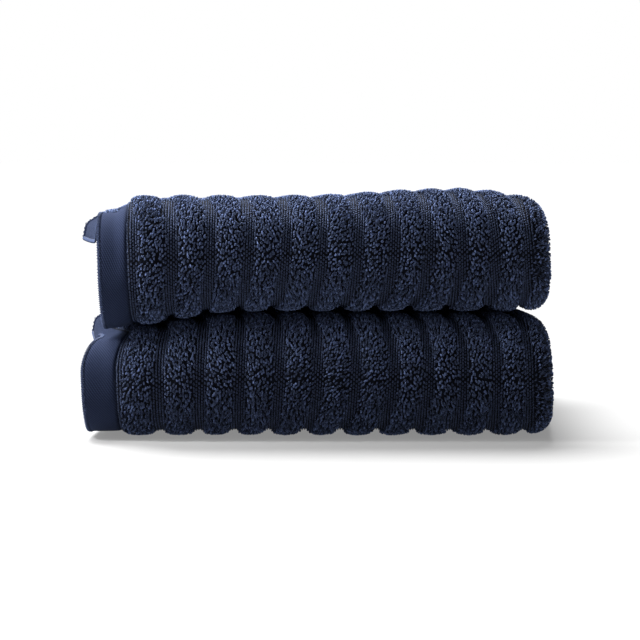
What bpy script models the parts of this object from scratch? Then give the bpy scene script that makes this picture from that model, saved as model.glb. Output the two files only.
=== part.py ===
"""Bath towel set: two ribbed terry towels, each folded in eight, one lying on the other.

Metres, +Z up. The rounded front folds face -Y and the ribs run over them. The origin is on the
floor, under the middle of the stack. A folded towel is drawn flat first, as an outline of
x (across the ribs) and w (outwards from the middle fold), is drawn out along t (along the ribs,
from the underside's back edge round the front to the top's back edge), and is then laid in place.
"""
import math
from dataclasses import dataclass

import bmesh
import bpy

# The cloth, cut flat
TOWEL_WIDTH = 0.70
TOWEL_LENGTH = 1.40
LAYER = 0.0115            # one folded layer with its pile on both sides
CLOTH = 0.0024            # flat-woven cloth of the end bands
HEM = 0.0030              # side hem, turned under and sewn down
THREAD = 0.0008
EDGING = 0.0016           # overlocked edge of an end band
END_BAND = 0.0235
SIDE_HEM = 0.0080
RIBS = 12
RIB_DEPTH = 0.0055
GAP = 0.0004              # left between touching pieces
BAND_GAP = 0.0015         # left between the pile, an end band and a side hem, which bend differently

# The fold: four layers side to side, then once over the front
STACK = 4 * LAYER
FOLDED = (TOWEL_LENGTH + (10 - 2.5 * math.pi) * LAYER) / 4
OUTER_LEVEL = STACK - LAYER / 2      # middle of the outermost layer, which ends in one band
INNER_LEVEL = STACK - 1.5 * LAYER    # middle of the layer under it, which ends in the other
TUCK = 0.0030             # how much deeper the inner end lies than the outer one
SLIT = 0.0030             # air inside the last fold
FRONT_FULLNESS = 2.3      # exponent of the front's outline, 2 is round
BAND_SLOPE = 0.0140       # an end band has no pile, so it leaves its level over this width

# The heights of the two towels, at their ribs' crests
LOW_LEFT = 0.0835
LOW_RISE = 0.0145
TOP = 0.1905
TOP_SWELL = 0.0055
SLUMP = 0.05              # share of its height that the stack loses towards the back
LOW_SLUMP = 0.02          # the same for the lower towel alone

# How the ribs lean over the front and towards the back
SKEW = 0.05
SWAY = 0.0055

# The loose corner at the top, back and left of each towel
CORNER_EDGE = -0.0005
CORNER_ROLL = 0.0035
CORNER_ANGLE = math.radians(80)
CORNER_HANG = 0.014

MIDDLE = (0.0071, 0.0281)     # moves the stack over the origin

FRONT_STEPS = 12
SIDE_STEPS = 10
MIDDLE_STEPS = 9
BAND_STEPS = 6


@dataclass
class Towel:
    name: str
    left: float           # left edge at the front
    gather: float         # how closely the ribs are pushed together
    bulge: float          # how far the left end swells at the front
    flare: float          # how far the last ribs on the right lean out
    sink: float           # how far the outer end band lies lower on the top
    sag: float            # how far it sags at the bottom
    slip: float           # how far the loose corner slips out
    yaw: float
    colour: tuple


LOWER = Towel(
    name="lower_towel", left=-0.1705, gather=1.0, bulge=0.014, flare=0.0, sink=0.0025, sag=0.0005,
    slip=0.017, yaw=0.0, colour=(0.0165, 0.0235, 0.052),
)
UPPER = Towel(
    name="upper_towel", left=-0.1735, gather=0.988, bulge=0.003, flare=0.0045, sink=0.0080, sag=0.0035,
    slip=0.019, yaw=math.radians(1.5), colour=(0.0180, 0.0255, 0.056),
)


def smooth(value):
    value = min(max(value, 0.0), 1.0)
    return value * value * (3 - 2 * value)


def meeting_height(x):
    """Height of the plane where the towels meet."""
    return LOW_LEFT + LOW_RISE * smooth((x + 0.175) / 0.12)


def top_height(x):
    width = 0.13 if x < 0.11 else 0.065
    return TOP + TOP_SWELL * smooth(1 - abs(x - 0.11) / width)


def fold_over(t, w):
    """Depth and height of a point on the fold over the front."""
    radius = w + SLIT / 2
    arm = (TOWEL_WIDTH - math.pi * radius) / 2
    if t < arm:
        return arm - t, -radius
    if t > TOWEL_WIDTH - arm:
        return t - TOWEL_WIDTH + arm, radius
    angle = (t - arm) / radius
    power = 2 / FRONT_FULLNESS
    across, up = math.sin(angle), -math.cos(angle)
    return -radius * abs(across) ** power, radius * math.copysign(abs(up) ** power, up)


def lower_band(towel, x, turn, w):
    """Lets the outer end band, which has no pile, down to the layer under it."""
    outermost = min(max((w / LAYER - 2.65) / 0.55, 0.0), 1.0)
    sunk = towel.sink * smooth((turn + 0.02) / 0.05)
    sagged = towel.sag * smooth(-turn / 0.05) * smooth((turn + 0.30) / 0.15)
    return w - (sunk - sagged) * smooth((END_BAND + 0.004 - x) / BAND_SLOPE) * outermost


def loosen_corner(towel, x, depth, raised):
    """Slips the outer layer's back corner out to the left, and lets it hang over the edge. A point
    raised above the middle of the layer turns with it."""
    over = towel.slip * min(max((depth - 0.10) / 0.25, 0.0), 1.0)
    drop = (CORNER_HANG + CORNER_ROLL) * smooth((depth - 0.03) / 0.08)
    place = x - (over + drop) * max(0.0, 1 - x / (FOLDED - STACK / 2)) ** 1.5
    edge = CORNER_EDGE - over
    past = edge - place
    if past <= 0:
        return place, 0.0
    angle = min(past / CORNER_ROLL, CORNER_ANGLE)
    straight = past - CORNER_ROLL * angle
    out = (CORNER_ROLL + raised) * math.sin(angle) + straight * math.cos(CORNER_ANGLE)
    down = (CORNER_ROLL + raised) * (1 - math.cos(angle)) + straight * math.sin(CORNER_ANGLE)
    return edge - out, down


def lay(towel, x, t, w):
    """Where a point of the flat drawing lies in the folded, stacked towel."""
    turn = t - TOWEL_WIDTH / 2
    raised = w - OUTER_LEVEL
    w = lower_band(towel, x, turn, w)
    depth, height = fold_over(t, w)
    hang = 0.0
    end = x
    if turn > 0 and raised > -LAYER / 2:
        end, hang = loosen_corner(towel, x, depth, raised)
    full = smooth((0.075 - turn) / 0.065) * smooth((turn + 0.25) / 0.15)
    end -= towel.bulge * full * max(0.0, 1 - x / 0.12) ** 2
    share = min(max(x / FOLDED, 0.0), 1.0)
    sway = SWAY * math.sin(math.pi * share) ** 1.3
    sway -= towel.flare * math.exp(-(((share - 0.87) / 0.08) ** 2))
    end += sway * math.sin(math.pi / 2 * min(max(turn / 0.07, -1.0), 1.0))
    across = towel.left + end * towel.gather - SKEW * turn
    y = depth - TOWEL_WIDTH / 4
    across, y = (
        across * math.cos(towel.yaw) - y * math.sin(towel.yaw),
        across * math.sin(towel.yaw) + y * math.cos(towel.yaw),
    )
    back = 1 - (1 - min(max(depth / 0.35, 0.0), 1.0)) ** 2
    meeting = meeting_height(across) * (1 - LOW_SLUMP * back)
    if towel is LOWER:
        floor, ceiling = 0.0, meeting - GAP
    else:
        floor, ceiling = meeting + GAP, top_height(across) * (1 - SLUMP * back)
    share = height / (STACK + SLIT / 2)
    z = (floor + ceiling) / 2 + share * (ceiling - floor) / 2 - hang
    return across + MIDDLE[0], y + MIDDLE[1], z


def stations(start, end):
    """Steps along the ribs, close together where the cloth turns over the front."""
    half = TOWEL_WIDTH / 2
    turn = math.pi * (STACK + SLIT / 2) / 2
    before = [start + (half - turn - start) * i / SIDE_STEPS for i in range(SIDE_STEPS)]
    over = [half - turn + 2 * turn * i / FRONT_STEPS for i in range(FRONT_STEPS)]
    after = [half + turn + (end - half - turn) * i / SIDE_STEPS for i in range(SIDE_STEPS + 1)]
    return before + over + after


def cloth_material(name, colour, roughness):
    material = bpy.data.materials.new(name)
    material.use_nodes = True
    shader = material.node_tree.nodes["Principled BSDF"]
    shader.inputs["Base Color"].default_value = (*colour, 1.0)
    shader.inputs["Roughness"].default_value = roughness
    shader.inputs["Metallic"].default_value = 0.0
    return material


def add_part(towel, name, data, shade, roughness):
    part = bpy.data.objects.new(f"{towel.name}_{name}", data)
    colour = tuple(channel * shade for channel in towel.colour)
    data.materials.append(cloth_material(part.name, colour, roughness))
    bpy.data.collections["bath_towel_set"].objects.link(part)


def drawn_out(towel, name, outline, steps, shade, roughness):
    """A closed solid: a flat outline of (x, w), drawn out along t and then laid in place."""
    bm = bmesh.new()
    face = bm.faces.new([bm.verts.new((x, w, steps[0])) for x, w in outline])
    for step in steps[1:]:
        made = bmesh.ops.extrude_face_region(bm, geom=[face])
        inner_face = face
        face = next(item for item in made["geom"] if isinstance(item, bmesh.types.BMFace))
        for vert in face.verts:
            vert.co.z = step
        if step != steps[1]:
            bmesh.ops.delete(bm, geom=[inner_face], context="FACES_ONLY")
    bmesh.ops.recalc_face_normals(bm, faces=bm.faces)
    bmesh.ops.triangulate(bm, faces=bm.faces)
    for vert in bm.verts:
        vert.co = lay(towel, vert.co.x, vert.co.z, vert.co.y)
    if bm.calc_volume(signed=True) < 0:
        bmesh.ops.reverse_faces(bm, faces=bm.faces)
    mesh = bpy.data.meshes.new(f"{towel.name}_{name}")
    bm.to_mesh(mesh)
    bm.free()
    mesh.shade_smooth()
    mesh.set_sharp_from_angle(angle=math.radians(50))
    add_part(towel, name, mesh, shade, roughness)


def sewn_line(towel, name, points, thickness):
    """A line of stitching, as one thin round thread."""
    curve = bpy.data.curves.new(f"{towel.name}_{name}", "CURVE")
    curve.dimensions = "3D"
    curve.bevel_depth = thickness / 2
    curve.bevel_resolution = 0
    curve.use_fill_caps = True
    spline = curve.splines.new("POLY")
    spline.points.add(len(points) - 1)
    for point, (x, t, w) in zip(spline.points, points):
        point.co = (*lay(towel, x, t, w), 1.0)
    add_part(towel, name, curve, 1.3, 0.6)


def arc(centre, radius, start, end, count):
    """Points round an end fold, as (x, w), with angles in quarter turns from +x."""
    turns = [math.radians(90 * (start + (end - start) * i / count)) for i in range(count + 1)]
    return [(centre[0] + radius * math.cos(a), centre[1] + radius * math.sin(a)) for a in turns]


def run(start, end, level):
    """Steps along one layer between its folds, without the ends."""
    xs = [start + (end - start) * i / MIDDLE_STEPS for i in range(1, MIDDLE_STEPS)]
    return [(x, level) for x in xs]


def pile_outline():
    """The terry's outer shape: a rounded inner fold on the left, a step for the two end bands,
    the ribs along the outside and the big end fold on the right."""
    half = STACK / 2
    last = FOLDED - half
    outline = run(last, half / 2, 0.0)
    outline += arc((half / 2, half / 2), half / 2, 3, 1, 5)
    foot = END_BAND + BAND_GAP
    outline += [(foot, half), (foot, STACK - 1.2 * LAYER), (foot, STACK - RIB_DEPTH)]
    pitch = (FOLDED - END_BAND) / RIBS
    for rib in range(RIBS):
        for share, rise in ((0.28, 1.0), (0.72, 1.0), (1.0, 0.0)):
            x = END_BAND + pitch * (rib + share)
            if x < last:
                outline.append((x, STACK - RIB_DEPTH * (1 - rise)))
    return outline + arc((last, half), half, 1, -1, 8)


def band_places(start):
    """Steps across an end band, from its edge."""
    return [start + (END_BAND - start) * i / BAND_STEPS for i in range(BAND_STEPS + 1)]


def band_outline(level, start):
    """A flat-woven band at the level of its layer."""
    under = [(x, level - CLOTH / 2) for x in band_places(start)]
    over = [(x, level + CLOTH / 2) for x in reversed(band_places(start))]
    return under + over


def layer_path(offset, start):
    """The middle line of the four layers, in the order in which the cloth runs, moved sideways."""
    half = STACK / 2
    left, right = half / 2, FOLDED - half
    small, large = LAYER / 2, 1.5 * LAYER
    over = [(x, OUTER_LEVEL + offset) for x in band_places(start)]
    under = [(x, INNER_LEVEL - offset) for x in reversed(band_places(start))]
    over += run(END_BAND, right, OUTER_LEVEL + offset)
    over += arc((right, half), large + offset, 1, -1, 8)
    over += run(right, left, small - offset)
    over += arc((left, half / 2), small + offset, 3, 1, 5)
    over += run(left, right, large + offset)
    over += arc((right, half), small - offset, -1, 1, 5)
    return over + run(right, END_BAND, INNER_LEVEL - offset) + under


def build(towel):
    middle_steps = stations(SIDE_HEM + BAND_GAP, TOWEL_WIDTH - SIDE_HEM - BAND_GAP)
    drawn_out(towel, "terry_body", pile_outline(), middle_steps, 1.0, 0.95)
    band_start = EDGING + 3 * GAP
    edge_steps = [GAP] + middle_steps + [TOWEL_WIDTH - GAP]
    inner = ("inner", INNER_LEVEL, TUCK, middle_steps)
    for name, level, tucked, steps in (("outer", OUTER_LEVEL, 0.0, edge_steps), inner):
        outline = band_outline(level, band_start + tucked)
        drawn_out(towel, f"{name}_end_band", outline, middle_steps, 1.15, 0.85)
        edge = [(EDGING / 2 + tucked, t, level) for t in steps]
        sewn_line(towel, f"{name}_end_edging", edge, EDGING)
    strip = layer_path(-HEM / 2, band_start) + layer_path(HEM / 2, band_start)[::-1]
    raised = HEM / 2 + 3 * GAP + THREAD
    for name, start in (("lower", 0.0), ("upper", TOWEL_WIDTH - SIDE_HEM)):
        steps = [start + GAP, start + SIDE_HEM - GAP]
        drawn_out(towel, f"{name}_side_hem", strip, steps, 1.1, 0.9)
        seam = [(x, start + SIDE_HEM / 2, w) for x, w in layer_path(raised, band_start)]
        sewn_line(towel, f"{name}_side_stitching", seam, THREAD)


for old in list(bpy.data.objects):
    bpy.data.objects.remove(old)
bpy.context.scene.collection.children.link(bpy.data.collections.new("bath_towel_set"))
for one_towel in (LOWER, UPPER):
    build(one_towel)
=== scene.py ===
import math

import bmesh
import bpy
import numpy as np
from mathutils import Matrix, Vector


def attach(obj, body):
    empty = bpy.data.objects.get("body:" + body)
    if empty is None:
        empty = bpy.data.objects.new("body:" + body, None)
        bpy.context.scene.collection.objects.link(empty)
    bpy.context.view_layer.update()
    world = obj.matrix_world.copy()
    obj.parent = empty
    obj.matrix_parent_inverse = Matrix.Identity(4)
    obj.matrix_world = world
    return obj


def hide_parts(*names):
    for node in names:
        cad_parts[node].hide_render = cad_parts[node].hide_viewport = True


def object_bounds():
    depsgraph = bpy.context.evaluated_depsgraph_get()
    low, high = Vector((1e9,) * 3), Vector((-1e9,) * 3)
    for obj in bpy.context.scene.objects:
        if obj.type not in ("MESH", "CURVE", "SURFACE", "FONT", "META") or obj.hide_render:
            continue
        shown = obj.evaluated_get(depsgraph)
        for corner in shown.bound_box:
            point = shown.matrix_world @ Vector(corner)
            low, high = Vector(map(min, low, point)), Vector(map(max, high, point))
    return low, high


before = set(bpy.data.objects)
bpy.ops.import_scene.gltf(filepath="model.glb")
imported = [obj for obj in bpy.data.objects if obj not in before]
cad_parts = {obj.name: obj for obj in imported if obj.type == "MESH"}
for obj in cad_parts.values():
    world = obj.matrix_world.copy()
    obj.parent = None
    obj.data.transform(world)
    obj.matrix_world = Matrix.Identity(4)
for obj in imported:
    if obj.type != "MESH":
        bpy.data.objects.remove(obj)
cad_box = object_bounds()

# ---------------------------------------------------------------------------------------------
# The fold. Each towel is one cloth of 0.70 x 1.40 m. Its length is folded over into four layers,
# and the four are then folded once more over a round front, so that eight layers lie on each
# other. A place on the cloth is s along its length and t along its width, both in metres.

CLOTH_WIDTH = 0.70
CLOTH_LENGTH = 1.40
LAYER = 0.0115
SLIT = 0.0030
END_BAND = 0.0235
BAND_SLOPE = 0.0140
SIDE_HEM = 0.0080
GAP = 0.0004
FRONT_FULLNESS = 2.3

STACK = 4 * LAYER
FOLDED = (CLOTH_LENGTH + (10 - 2.5 * math.pi) * LAYER) / 4
RIGHT_TURN = FOLDED - STACK / 2
LEFT_TURN = STACK / 4
BIG_ARC = 1.5 * math.pi * LAYER
SMALL_ARC = 0.5 * math.pi * LAYER
RUN = RIGHT_TURN - LEFT_TURN
ENDS = np.cumsum([RIGHT_TURN, BIG_ARC, RUN, SMALL_ARC, RUN, SMALL_ARC, RIGHT_TURN])

LOW_LEFT = 0.0835
LOW_RISE = 0.0145
TOP = 0.1905
TOP_SWELL = 0.0055
SLUMP = 0.05
LOW_SLUMP = 0.02
EDGE_DROP = 0.0080
SWAY = 0.0055
SKEW = 0.05
CORNER_EDGE = 0.0015
CORNER_ROLL = 0.0035
CORNER_ANGLE = math.radians(80)
CORNER_HANG = 0.014
MIDDLE = (0.0071, 0.0281)


class Towel:
    """One towel, how its fold has slipped and settled, and the pieces it is made of."""

    def __init__(self, body, left, gather, bulge, flare, sink, sag, slip, yaw, bow, bow_lean, seed):
        self.body = body
        self.left = left          # where the end band's edge lies across the stack
        self.gather = gather      # how much the folded length is drawn together
        self.bulge = bulge        # how far the left end swells at the front
        self.flare = flare        # how far the last ribs on the right lean out
        self.sink = sink          # how far the outer end band lies lower on the top
        self.sag = sag            # how far it sags at the bottom
        self.slip = slip          # how far the loose corner slips out
        self.yaw = yaw
        self.bow = bow            # how far the ribs are drawn to the right over the front
        self.bow_lean = bow_lean  # 1 for the widest bow in the middle, more for further right
        self.pieces = []
        self.random = np.random.default_rng(seed)
        self.waves = self.random.uniform(0, 2 * math.pi, 8)


lower = Towel(
    "lower_towel", left=-0.1705, gather=1.0, bulge=0.014, flare=0.0, sink=0.0025, sag=0.0005,
    slip=0.017, yaw=0.0, bow=0.0130, bow_lean=1.8, seed=5,
)
upper = Towel(
    "upper_towel", left=-0.1735, gather=0.988, bulge=0.003, flare=0.0045, sink=0.0080, sag=0.0035,
    slip=0.019, yaw=math.radians(1.5), bow=0.0155, bow_lean=1.0, seed=8,
)
towels = (lower, upper)


def smooth(value):
    value = np.clip(value, 0, 1)
    return value * value * (3 - 2 * value)


def in_four(s):
    """Where s lies once the length is in four layers: x across and w out from the middle."""
    run = [s - end for end in (0, *ENDS[:-1])]
    big = math.pi / 2 - run[1] / (1.5 * LAYER)
    left = -math.pi / 2 - run[3] / (0.5 * LAYER)
    small = -math.pi / 2 + run[5] / (0.5 * LAYER)
    last = RIGHT_TURN - run[6]
    x = np.select(
        [s < end for end in ENDS[:-1]],
        [
            run[0],
            RIGHT_TURN + 1.5 * LAYER * np.cos(big),
            RIGHT_TURN - run[2],
            LEFT_TURN + 0.5 * LAYER * np.cos(left),
            LEFT_TURN + run[4],
            RIGHT_TURN + 0.5 * LAYER * np.cos(small),
        ],
        last,
    )
    w = np.select(
        [s < end for end in ENDS[:-1]],
        [
            STACK - 0.5 * LAYER + 0 * s,
            2 * LAYER + 1.5 * LAYER * np.sin(big),
            0.5 * LAYER + 0 * s,
            LAYER + 0.5 * LAYER * np.sin(left),
            1.5 * LAYER + 0 * s,
            2 * LAYER + 0.5 * LAYER * np.sin(small),
        ],
        STACK - 1.5 * LAYER + 0 * s,
    )
    return x, w


def over_front(t, w):
    """Depth and height once the four layers are folded over the front, and how far round."""
    radius = w + SLIT / 2
    arm = (CLOTH_WIDTH - math.pi * radius) / 2
    angle = np.clip((t - arm) / radius, 0, math.pi)
    power = 2 / FRONT_FULLNESS
    cosine = np.cos(angle)
    depth = -radius * np.abs(np.sin(angle)) ** power
    depth += np.maximum(arm - t, 0) + np.maximum(t - CLOTH_WIDTH + arm, 0)
    return depth, -radius * np.sign(cosine) * np.abs(cosine) ** power


def place(towel, s, t):
    """The middle of the cloth at s and t, and how much the stack squeezes it there."""
    x, w = in_four(s)
    outermost = s < RIGHT_TURN
    turn = t - CLOTH_WIDTH / 2
    sunk = towel.sink * smooth((turn + 0.02) / 0.05)
    sagged = towel.sag * smooth(-turn / 0.05) * smooth((turn + 0.30) / 0.15)
    w = w - (sunk - sagged) * smooth((END_BAND + 0.004 - x) / BAND_SLOPE) * outermost
    depth, height = over_front(t, w)
    over = towel.slip * np.clip((depth - 0.10) / 0.25, 0, 1) * (turn > 0)
    drop = (CORNER_HANG + CORNER_ROLL) * smooth((depth - 0.03) / 0.08) * (turn > 0)
    end = x - (over + drop) * np.maximum(0, 1 - x / RIGHT_TURN) ** 1.5 * outermost
    edge = CORNER_EDGE - over
    past = np.maximum(edge - end, 0) * outermost
    angle = np.minimum(past / CORNER_ROLL, CORNER_ANGLE)
    straight = past - CORNER_ROLL * angle
    out = CORNER_ROLL * np.sin(angle) + straight * math.cos(CORNER_ANGLE)
    hang = CORNER_ROLL * (1 - np.cos(angle)) + straight * math.sin(CORNER_ANGLE)
    end = np.where(past > 0, edge - out, end)
    full = smooth((0.075 - turn) / 0.065) * smooth((turn + 0.25) / 0.15)
    end = end - towel.bulge * full * np.maximum(0, 1 - x / 0.12) ** 2
    share = np.clip(x / FOLDED, 0, 1)
    sway = SWAY * np.sin(math.pi * share) ** 1.3 - towel.flare * np.exp(-(((share - 0.87) / 0.08) ** 2))
    end = end + sway * np.sin(math.pi / 2 * np.clip(turn / 0.07, -1, 1))
    across = towel.left + end * towel.gather - SKEW * turn
    y = depth - CLOTH_WIDTH / 4
    turned = across * math.cos(towel.yaw) - y * math.sin(towel.yaw)
    y = across * math.sin(towel.yaw) + y * math.cos(towel.yaw)
    back = 1 - (1 - np.clip(depth / 0.35, 0, 1)) ** 2
    meeting = (LOW_LEFT + LOW_RISE * smooth((turned + 0.175) / 0.12)) * (1 - LOW_SLUMP * back)
    swell = TOP + TOP_SWELL * smooth(1 - np.abs(turned - 0.11) / np.where(turned < 0.11, 0.13, 0.065))
    if towel is lower:
        bottom, ceiling = GAP + 0 * meeting, meeting - GAP
    else:
        dropped = EDGE_DROP * smooth((-0.135 - turned) / 0.035) * smooth(depth / 0.06)
        bottom, ceiling = meeting + GAP, swell * (1 - SLUMP * back) - dropped
    squeeze = (ceiling - bottom) / (2 * STACK + SLIT)
    z = (bottom + ceiling) / 2 + height * squeeze - hang
    return np.stack([turned + MIDDLE[0], y + MIDDLE[1], z], -1), np.minimum(squeeze, 1.02)


def frame_at(towel, s, t):
    """The place, the two directions in the cloth and its outward one, all in metres."""
    step = 2e-4
    spot, squeeze = place(towel, s, t)
    along = place(towel, s + step, t)[0] - place(towel, s - step, t)[0]
    up = place(towel, s, t + step)[0] - place(towel, s, t - step)[0]
    along /= np.linalg.norm(along, axis=-1, keepdims=True)
    out = np.cross(along, up)
    out /= np.linalg.norm(out, axis=-1, keepdims=True)
    return spot, along, np.cross(out, along), out * squeeze[..., None]


# ---------------------------------------------------------------------------------------------
# The terry field: the ground cloth of the towel, woven with pile on both faces in ribs, with
# low narrow valleys between them. It is one cloth from end band to end band, and it holds all
# eight layers. The loops that show are pieces of their own, further on.

RIBS = 49
RIB = (CLOTH_LENGTH - 2 * END_BAND) / RIBS
CREST = 0.0056
VALLEY = 0.0009
LOOP_CREST = 0.0026
LOOP_VALLEY = 0.0007
COLUMNS_PER_RIB = 12


def bowed(towel, s, t):
    """How far the ribs are drawn to the right where they go round the front."""
    share = np.clip(s / ENDS[1], 0, 1)
    around = np.exp(-(((t - CLOTH_WIDTH / 2 - 0.005) / 0.055) ** 2))
    return towel.bow * around * np.sin(math.pi * share**towel.bow_lean) ** 0.7


def ribbing(towel, s, t):
    """How high the pile stands, from 0 in a valley to 1 on a crest. The ribs wander a little."""
    a, b, c, d, e, f, g = towel.waves[:7]
    wander = 0.0011 * np.sin(31 * t + 9 * s + a) + 0.0008 * np.sin(67 * t - 23 * s + b)
    wander += 0.0004 * np.sin(140 * t + 61 * s + c)
    phase = (s + wander - bowed(towel, s, t) - END_BAND) / RIB % 1
    crest = np.sin(math.pi * phase**0.80) ** 1.15
    uneven = 1 + 0.07 * np.sin(43 * t + 57 * s + d) * np.sin(29 * s - 17 * t + e)
    uneven += 0.05 * np.sin(111 * t - 83 * s + f) * np.sin(97 * s + g + 20 * t)
    return crest * uneven


BARED = 0.0165  # how far in from an edge an inner layer's face still lies open at the back


def shown(s, t, outer):
    """1 where a face lies open to view and carries loops, falling to 0 where it's tucked in."""
    first = smooth((ENDS[1] + 0.012 - s) / 0.006)
    left = smooth((s - ENDS[2] + 0.012) / 0.006) * smooth((ENDS[3] + 0.012 - s) / 0.006)
    step = smooth((BARED - np.minimum(t, CLOTH_WIDTH - t)) / 0.003)
    outward = (s > ENDS[3]) & (s < ENDS[4])
    inward = ((s > ENDS[1]) & (s < ENDS[2])) | (s > ENDS[5])
    return np.where(outer, np.maximum(first + left, step * outward), step * inward)


def terry_face(towel, s, t, outer):
    """Half the cloth's thickness without the loops, where there are loops."""
    crest = ribbing(towel, s, t)
    full = VALLEY + (CREST - VALLEY) * crest
    loops = LOOP_VALLEY + (LOOP_CREST - LOOP_VALLEY) * crest
    return full - loops * shown(s, t, outer)


def steps_over_front():
    """Rows across the cloth's width, closest in the middle, where the tight inner folds are."""
    middle = CLOTH_WIDTH / 2
    tight = np.arange(0, 0.0121, 0.0030)
    round_front = np.arange(0.0165, 0.0781, 0.0056)
    flat = np.linspace(0.085, middle - SIDE_HEM, 14)
    half = np.concatenate([tight, round_front, flat])
    return np.concatenate([middle - half[:0:-1], middle + half])


def woven(name, towel, columns, rows, face, rim):
    """A closed cloth over these columns and rows. face gives half its thickness, rim its edges'."""
    bm = bmesh.new()
    for side in (0, 1):
        made = bmesh.ops.create_grid(bm, x_segments=len(columns) - 1, y_segments=len(rows) - 1, size=0.5)
        bmesh.ops.translate(bm, verts=made["verts"], vec=(0, 0, side))
        if side:
            bmesh.ops.reverse_faces(bm, faces=list({f for v in made["verts"] for f in v.link_faces}))
    mesh = bpy.data.meshes.new(name)
    bm.to_mesh(mesh)
    flat = np.empty((len(mesh.vertices), 3), np.float32)
    mesh.vertices.foreach_get("co", flat.ravel())
    column = np.rint((flat[:, 0] + 0.5) * (len(columns) - 1)).astype(int)
    row = np.rint((flat[:, 1] + 0.5) * (len(rows) - 1)).astype(int)
    outer = flat[:, 2] < 0.5
    s, t = columns[column], rows[row]
    half = face(towel, s, t, outer)
    edge = np.minimum.reduce([s - columns[0], columns[-1] - s, t - rows[0], rows[-1] - t])
    half = half * np.sqrt(1 - (1 - np.clip(edge / rim, 0, 1)) ** 2)
    spot, along, up, out = frame_at(towel, s, t)
    spot += out * np.where(outer, half, -half)[:, None]
    mesh.vertices.foreach_set("co", spot.astype(np.float32).ravel())
    corner = np.empty(len(mesh.loops), np.int32)
    mesh.loops.foreach_get("vertex_index", corner)
    layout = np.stack([s / CLOTH_LENGTH, t / CLOTH_LENGTH + 0.5 * ~outer], -1)[corner]
    mesh.uv_layers.new(name="OFBake").uv.foreach_set("vector", layout.astype(np.float32).ravel())
    bm.clear()
    bm.from_mesh(mesh)
    bmesh.ops.remove_doubles(bm, verts=[v for v in bm.verts if v.is_boundary], dist=1e-5)
    bm.to_mesh(mesh)
    bm.free()
    mesh.shade_smooth()
    piece = bpy.data.objects.new(name, mesh)
    bpy.context.scene.collection.objects.link(piece)
    return piece


class Dye:
    """A socket in a cloth's node tree. Arithmetic on it adds Math nodes."""

    def __init__(self, tree, socket=None):
        self.tree = tree
        self.socket = socket

    def node(self, kind, settings=None, values=None, output=0):
        made = self.tree.nodes.new(kind)
        for name, setting in (settings or {}).items():
            setattr(made, name, setting)
        for name, value in (values or {}).items():
            self.feed(made.inputs[name], value)
        return Dye(self.tree, made.outputs[output])

    def feed(self, target, value):
        if isinstance(value, Dye):
            self.tree.links.new(value.socket, target)
        else:
            target.default_value = value

    def worked(self, operation, first, second):
        return self.node("ShaderNodeMath", {"operation": operation}, {0: first, 1: second})

    def __add__(self, other):
        return self.worked("ADD", self, other)

    def __sub__(self, other):
        return self.worked("SUBTRACT", self, other)

    def __rsub__(self, other):
        return self.worked("SUBTRACT", other, self)

    def __mul__(self, other):
        return self.worked("MULTIPLY", self, other)

    __radd__ = __add__
    __rmul__ = __mul__

    def blended(self, dark, light):
        """A colour between dark and light, as far as this socket says."""
        colours = {6: (*dark, 1.0), 7: (*light, 1.0), 0: self}
        return self.node("ShaderNodeMix", {"data_type": "RGBA"}, colours, output=2)


FIBRE_SHEEN = (0.42, 0.56, 1.0)


def cotton(name, roughness, sheen):
    """A cotton material with constant sheen, and its tree and shader to build on."""
    material = bpy.data.materials.new(name)
    material.use_nodes = True
    tree = material.node_tree
    shader = tree.nodes["Principled BSDF"]
    shader.inputs["Roughness"].default_value = roughness
    shader.inputs["Specular IOR Level"].default_value = 0.1
    shader.inputs["Sheen Weight"].default_value = sheen
    shader.inputs["Sheen Roughness"].default_value = 0.45
    shader.inputs["Sheen Tint"].default_value = (*FIBRE_SHEEN, 1.0)
    return material, Dye(tree), shader


def cloth_places(dye):
    """The cloth's own s and t in metres, from its map."""
    layout = dye.node("ShaderNodeUVMap", {"uv_map": "OFBake"})
    return dye.node("ShaderNodeVectorMath", {"operation": "SCALE"}, {0: layout, "Scale": CLOTH_LENGTH})


def add(piece, towel, slot, material, *nodes):
    """Gives a piece its finish, lets it ride on its towel and stand for its CAD nodes."""
    piece.data.materials.append(material)
    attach(piece, towel.body)
    if nodes:
        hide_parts(*[f"{towel.body}_{node}" for node in nodes])
    towel.pieces.append(piece)
    return piece


# The ground cloth's colours are far darker than the loops' as painted shade: they stand in for the shade
# deep among the loops.
SHADED_GROUND_DARK = (0.0015, 0.0021, 0.0045)
SHADED_GROUND_LIGHT = (0.0060, 0.0082, 0.0170)

ground, dye, shader = cotton("terry_ground", 0.95, 0.05)
spots = dye.node("ShaderNodeTexVoronoi", {}, {"Vector": cloth_places(dye), "Scale": 430.0})
tufts = dye.node("ShaderNodeTexNoise", {}, {"Vector": cloth_places(dye), "Scale": 260.0, "Detail": 2.0})
relief = 1.0 - spots * 0.9 + tufts * 0.5
# Painted shade: the ground's colour follows the relief that also drives its bump, darker in the hollows
# between the tufts.
dye.feed(shader.inputs["Base Color"], (relief * 1.4 - 0.9).blended(SHADED_GROUND_DARK, SHADED_GROUND_LIGHT))
pile_bump = dye.node("ShaderNodeBump", {}, {"Strength": 0.8, "Distance": 0.0016, "Height": relief})
dye.feed(shader.inputs["Normal"], pile_bump)

for towel in towels:
    columns = np.linspace(END_BAND, CLOTH_LENGTH - END_BAND, RIBS * COLUMNS_PER_RIB + 1)
    terry = woven(f"{towel.body}_terry", towel, columns, steps_over_front(), terry_face, 0.0025)
    towel.terry = add(terry, towel, "terry_pile", ground, "terry_body")


# ---------------------------------------------------------------------------------------------
# The end bands: the two ends of the cloth are woven flat, in a fine steep twill with no pile,
# so they lie lower than the ribs. The outer one shows at the left of the front, and the inner
# one is tucked in a layer deeper.

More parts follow.
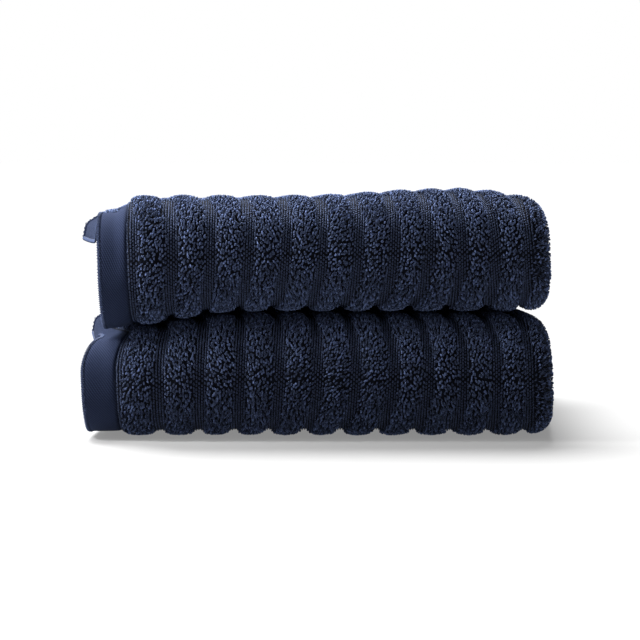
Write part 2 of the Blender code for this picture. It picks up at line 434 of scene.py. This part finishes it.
BAND_THICKNESS = 0.0024
EDGE = 0.0014
TWILL_DARK = (0.0075, 0.0103, 0.0225)
TWILL_LIGHT = (0.0225, 0.0310, 0.0650)
THREAD_DARK = (0.0050, 0.0070, 0.0160)
THREAD_LIGHT = (0.0290, 0.0395, 0.0800)


def band_face(towel, s, t, outer):
    return np.full(s.shape, BAND_THICKNESS / 2)


twill, dye, shader = cotton("end_band_twill", 0.95, 0.05)
shader.inputs["Specular IOR Level"].default_value = 0.03
across = dye.node("ShaderNodeSeparateXYZ", {}, {0: cloth_places(dye)})
along = Dye(dye.tree, across.socket.node.outputs[1])
slant = dye.node("ShaderNodeMath", {"operation": "SINE"}, {0: (across * 1.0 + along * 0.62) * 3600.0})
crossing = dye.node("ShaderNodeMath", {"operation": "SINE"}, {0: along * 5200.0})
ridge = slant * 0.5 + crossing * 0.22 + 0.5
# Painted shade: the twill's colour follows the same ridges as its bump, lighter on the ridges and darker
# in the grooves.
dye.feed(shader.inputs["Base Color"], ridge.blended(TWILL_DARK, TWILL_LIGHT))
twill_bump = dye.node("ShaderNodeBump", {}, {"Strength": 0.6, "Distance": 0.0004, "Height": ridge})
dye.feed(shader.inputs["Normal"], twill_bump)

for towel in towels:
    for which, start in (("outer", EDGE), ("inner", CLOTH_LENGTH - END_BAND - 0.0006)):
        columns = np.linspace(start, start + END_BAND - EDGE + 0.0006, 9)
        band = woven(f"{towel.body}_{which}_band", towel, columns, steps_over_front(), band_face, 0.0012)
        add(band, towel, "flat_weave", twill, f"{which}_end_band")


def one_yarn():
    """A bent yarn of unit length, height and thickness: its corners, its faces and its two roots."""
    bm = bmesh.new()
    bmesh.ops.create_cone(bm, cap_ends=True, segments=3, radius1=1, radius2=1, depth=1)
    caps = [face for face in bm.faces if abs(face.normal.z) > 0.9]
    roots = bmesh.ops.poke(bm, faces=caps)["verts"]
    for vert in bm.verts:
        vert.co = (vert.co.z, vert.co.x, vert.co.y)
    bmesh.ops.triangulate(bm, faces=bm.faces)
    for root in roots:
        root.co.x *= 2
    bmesh.ops.recalc_face_normals(bm, faces=bm.faces)
    bm.verts.ensure_lookup_table()
    bm.verts.index_update()
    corners = np.array([vert.co for vert in bm.verts])
    faces = np.array([[vert.index for vert in face.verts] for face in bm.faces])
    is_root = np.isin(np.arange(len(corners)), [root.index for root in roots])
    bm.free()
    return corners, faces, is_root


def yarns(towel, name, s, t, stands, size, turn, lean, tone, side=1):
    """Many short bent yarns on the cloth, each with its own length, height and thickness."""
    corners, faces, is_root = one_yarn()
    spot, along, up, out = frame_at(towel, s, t)
    length, height, yarn = (np.broadcast_to(value, s.shape)[:, None] for value in size)
    a, b, c = corners.T[:, None]
    reach = a * length
    across = b * yarn
    rise = np.where(is_root, -0.35 * height, 0.72 * height + c * yarn)
    over = np.where(is_root, 0, rise)
    cos, sin = np.cos(turn)[..., None], np.sin(turn)[..., None]
    in_s = reach * cos - across * sin + over * np.reshape(lean[0], (-1, 1))
    in_t = reach * sin + across * cos + over * np.reshape(lean[1], (-1, 1))
    points = spot[:, None] + in_s[..., None] * along[:, None] + in_t[..., None] * up[:, None]
    points += side * (np.reshape(stands, (-1, 1)) + rise)[..., None] * out[:, None]
    count, width = len(s), len(corners)
    corner = (faces[:, ::side].ravel()[None] + width * np.arange(count)[:, None]).ravel()
    mesh = bpy.data.meshes.new(name)
    mesh.vertices.add(count * width)
    mesh.vertices.foreach_set("co", points.astype(np.float32).ravel())
    mesh.loops.add(len(corner))
    mesh.loops.foreach_set("vertex_index", corner.astype(np.int32))
    mesh.polygons.add(count * len(faces))
    mesh.polygons.foreach_set("loop_start", np.arange(0, len(corner), 3, dtype=np.int32))
    mesh.update(calc_edges=True)
    # The roots are painted black, painted shade where each yarn goes down into the cloth; the rest of the
    # yarn takes its tone.
    tone_and_painted_shade = np.where(is_root, 0.0, np.broadcast_to(tone, s.shape)[:, None]).astype(np.float32)
    mesh.attributes.new("tone_and_painted_shade", "FLOAT", "POINT").data.foreach_set("value", tone_and_painted_shade.ravel())
    cells = math.ceil(math.sqrt(count))
    place_u = np.clip(corners[:, 0] / 2 + 0.5, 0, 1)
    angle = np.arctan2(corners[:, 2], corners[:, 1]) / (2 * math.pi) + 0.5
    local_v = np.where(is_root[faces], np.nan, angle[faces])
    wraps = np.nanmax(local_v, 1) - np.nanmin(local_v, 1) > 0.5
    local_v = np.where(wraps[:, None] & (local_v < 0.4), local_v + 1, local_v)
    local_v = np.where(np.isnan(local_v), np.nanmean(local_v, 1)[:, None], local_v)
    local_v = (local_v - local_v.min()) / (local_v.max() - local_v.min())
    local = np.stack([place_u[faces], local_v], -1)[:, ::side].reshape(1, -1, 2) * 0.86 + 0.07
    cell = np.stack([np.arange(count) % cells, np.arange(count) // cells], -1)[:, None]
    layout = ((cell + local) / cells).astype(np.float32)
    mesh.uv_layers.new(name="OFBake").uv.foreach_set("vector", layout.ravel())
    mesh.shade_smooth()
    piece = bpy.data.objects.new(name, mesh)
    bpy.context.scene.collection.objects.link(piece)
    return piece


thread, dye, shader = cotton("sewing_thread", 0.7, 0.2)
# The thread's colour: its random tone, with painted shade at the roots of each yarn.
tone_and_painted_shade = dye.node("ShaderNodeAttribute", {"attribute_name": "tone_and_painted_shade"}, {}, output=2)
dye.feed(shader.inputs["Base Color"], tone_and_painted_shade.blended(THREAD_DARK, THREAD_LIGHT))

EDGING_STEP = 0.0017
for towel in towels:
    t = np.arange(0.001, CLOTH_WIDTH - 0.001, EDGING_STEP)
    for which, at in (("outer", EDGE + 0.0010), ("inner", CLOTH_LENGTH - EDGE - 0.0010)):
        tone = towel.random.uniform(0.6, 1, t.shape)
        name = f"{towel.body}_{which}_edging"
        size = (0.0020, 0.0004, 0.00045)
        stands = BAND_THICKNESS / 2 - 0.0001
        edging = yarns(towel, name, at + 0 * t, t, stands, size, 0 * t + 0.25, (0, 0), tone)
        add(edging, towel, "sewing_thread", thread, f"{which}_end_edging")


# ---------------------------------------------------------------------------------------------
# The side hems: the two long edges of the cloth are turned under twice and sewn down, which
# leaves a firm flat strip. Both end up at the back of the fold, where they run through all four
# layers of the top and of the underside.

HEM_THICKNESS = 0.0034


def hem_face(towel, s, t, outer):
    return np.full(s.shape, HEM_THICKNESS / 2)


for towel in towels:
    for which, start in (("lower", 0.0), ("upper", CLOTH_WIDTH - SIDE_HEM)):
        columns = np.linspace(EDGE, CLOTH_LENGTH - EDGE, 500)
        rows = start + np.linspace(0, SIDE_HEM, 6) + (0.0003 if start == 0 else -0.0003)
        hem = woven(f"{towel.body}_{which}_hem", towel, columns, rows, hem_face, 0.0016)
        add(hem, towel, "flat_weave", twill, f"{which}_side_hem")

STITCH = 0.0032
for towel in towels:
    s = np.arange(0.004, CLOTH_LENGTH - 0.004, STITCH)
    for which, at in (("lower", 0.6 * SIDE_HEM), ("upper", CLOTH_WIDTH - 0.6 * SIDE_HEM)):
        tone = towel.random.uniform(0.6, 1, s.shape)
        name = f"{towel.body}_{which}_stitching"
        size = (0.0013, 0.0004, 0.00045)
        stitching = yarns(towel, name, s, at + 0 * s, HEM_THICKNESS / 2, size, 0 * s, (0, 0), tone)
        add(stitching, towel, "sewing_thread", thread, f"{which}_side_stitching")


# ---------------------------------------------------------------------------------------------
# The pile: thousands of short loops of twisted cotton. They stand tall, crowded and in all
# directions on the ribs' crests, and small and in straight columns in the valleys. Each loop is
# a bent yarn whose ends are buried in the ground cloth.

LOOP_PITCH = 0.00200
LOOP_STEP = 0.00245
LOOPS_PER_PIECE = 16000
# LOOP_DARK also serves as painted shade, at the loops' roots and in the rib valleys, besides the darkest
# random tones.
LOOP_DARK = (0.0006, 0.0009, 0.0024)
LOOP_LIGHT = (0.1060, 0.1460, 0.2980)


def loops_on(towel, outer):
    """Every loop's place on a face and how loose it is, from 0 in a valley to 1 on a crest."""
    places = np.arange(END_BAND + 0.0012, CLOTH_LENGTH - END_BAND - 0.001, LOOP_PITCH)
    rows = np.arange(SIDE_HEM + 0.0024, CLOTH_WIDTH - SIDE_HEM - 0.0022, LOOP_STEP)
    s, t = np.meshgrid(places, rows, indexing="ij")
    t = t + LOOP_STEP / 2 * (np.arange(len(s)) % 2)[:, None]
    s, t = s.ravel(), t.ravel()
    seen = shown(s, t, np.full(s.shape, outer)) > 0.4
    if towel is lower:
        seen &= (t > (CLOTH_WIDTH - math.pi * STACK) / 2 - 0.035) | (s > RIGHT_TURN - 0.030)
    s, t = s[seen], t[seen]
    loose = smooth((ribbing(towel, s, t) - 0.30) / 0.28)
    draw = towel.random.uniform
    s = s + loose * draw(-0.0007, 0.0007, s.shape) + draw(-0.0001, 0.0001, s.shape)
    t = t + loose * draw(-0.0008, 0.0008, s.shape) + draw(-0.0002, 0.0002, s.shape)
    return s, t, loose


loops, dye, shader = cotton("pile_loops", 0.85, 0.50)
# The loops' colour: their tone, with painted shade at the roots and in the valleys.
tone_and_painted_shade = dye.node("ShaderNodeAttribute", {"attribute_name": "tone_and_painted_shade"}, {}, output=2)
dye.feed(shader.inputs["Base Color"], tone_and_painted_shade.blended(LOOP_DARK, LOOP_LIGHT))

for towel in towels:
    for face, side in (("pile", 1), ("back_pile", -1)):
        s, t, loose = loops_on(towel, side == 1)
        draw = towel.random.uniform
        nap = 0.35 * np.sin(37 * s + 21 * t + towel.waves[2])
        nap += 0.25 * np.sin(83 * t - 31 * s + towel.waves[4])
        turn = math.pi / 2 + loose * (nap - 0.25 + draw(-0.6, 0.6, s.shape))
        lean = (loose * draw(-0.45, 0.45, s.shape), loose * draw(-0.6, 0.3, s.shape))
        # Each loop's tone differs at random, and the (0.12 + 0.88 * loose) factor darkens it in the
        # valleys: painted shade between the ribs.
        tone = 0.08 + 0.92 * draw(0, 1, s.shape) ** 2.4 * (0.12 + 0.88 * loose)
        stands = terry_face(towel, s, t, np.full(s.shape, side == 1))
        size = (0.0012 + 0.00005 * loose, 0.0008 + 0.0020 * loose, 0.00058 + 0.00012 * loose)
        for number in range(math.ceil(len(s) / LOOPS_PER_PIECE)):
            part = slice(number * LOOPS_PER_PIECE, (number + 1) * LOOPS_PER_PIECE)
            sizes = [values[part] for values in size]
            leans = [values[part] for values in lean]
            name = f"{towel.body}_{face}_{number + 1}"
            pile = yarns(
                towel, name, s[part], t[part], stands[part], sizes, turn[part], leans, tone[part], side
            )
            add(pile, towel, "terry_pile", loops)


# ---------------------------------------------------------------------------------------------
# The room: a pale floor that glows a little, like a light table, a wide soft sun from high behind
# on the left, two weak lamps in front on the left and a white surround. The camera stands low and
# far away in front of the round folds.

bm = bmesh.new()
bmesh.ops.create_grid(bm, x_segments=1, y_segments=1, size=60)
floor_mesh = bpy.data.meshes.new("floor")
bm.to_mesh(floor_mesh)
bm.free()
floor = bpy.data.objects.new("floor", floor_mesh)
bpy.context.scene.collection.objects.link(floor)
paper = bpy.data.materials.new("white_paper")
paper.use_nodes = True
paper_shader = paper.node_tree.nodes["Principled BSDF"]
paper_shader.inputs["Base Color"].default_value = (0.26, 0.26, 0.26, 1)
paper_shader.inputs["Roughness"].default_value = 1.0
paper_shader.inputs["Specular IOR Level"].default_value = 0.0
paper_shader.inputs["Emission Color"].default_value = (1, 1, 1, 1)
paper_shader.inputs["Emission Strength"].default_value = 0.25
floor_mesh.materials.append(paper)

world = bpy.data.worlds.new("white_surround")
world.use_nodes = True
surround = Dye(world.node_tree)
seen = surround.node("ShaderNodeLightPath", output=0)
light = surround.node("ShaderNodeBackground", {}, {"Color": (1, 1, 1, 1), "Strength": 0.17})
white = surround.node("ShaderNodeBackground", {}, {"Color": (1, 1, 1, 1), "Strength": 1.0})
both = surround.node("ShaderNodeMixShader", {}, {0: seen, 1: light, 2: white})
surround.feed(world.node_tree.nodes["World Output"].inputs["Surface"], both)
bpy.context.scene.world = world


def shine(name, data, spot, aim):
    """A lamp at a spot, pointed at an aim."""
    light = bpy.data.objects.new(name, data)
    light.location = spot
    light.rotation_euler = (light.location - type(light.location)(aim)).to_track_quat("Z", "Y").to_euler()
    light.visible_camera = False
    bpy.context.scene.collection.objects.link(light)


sun = bpy.data.lights.new("sky_lamp", "SUN")
sun.energy = 11.4
sun.angle = math.radians(38)
shine("sky_lamp", sun, (-0.24, 0.62, 1.0), (0, 0, 0))
for name, size, power, spot, at in (
    ("side_lamp", 0.6, 11.5, (-1.7, -0.60, 0.6), (0, 0, 0.1)),
    ("corner_lamp", 0.12, 3.6, (-0.45, -0.24, 0.38), (-0.12, -0.17, 0.15)),
):
    disc = bpy.data.lights.new(name, "AREA")
    disc.shape = "DISK"
    disc.size = size
    disc.energy = power
    shine(name, disc, spot, at)

DISTANCE = 1.8
ELEVATION = math.radians(4)
camera_data = bpy.data.cameras.new("camera")
camera_data.lens = 132
camera_data.sensor_width = 36
camera = bpy.data.objects.new("camera", camera_data)
front = cad_box[0].y
aim = (0.009, front, 0.0950)
camera.location = (
    aim[0],
    front - DISTANCE * math.cos(ELEVATION),
    aim[2] + DISTANCE * math.sin(ELEVATION),
)
camera.rotation_euler = (math.pi / 2 - ELEVATION, 0, 0)
bpy.context.scene.collection.objects.link(camera)
bpy.context.scene.camera = camera
bpy.context.scene.view_settings.view_transform = "Standard"
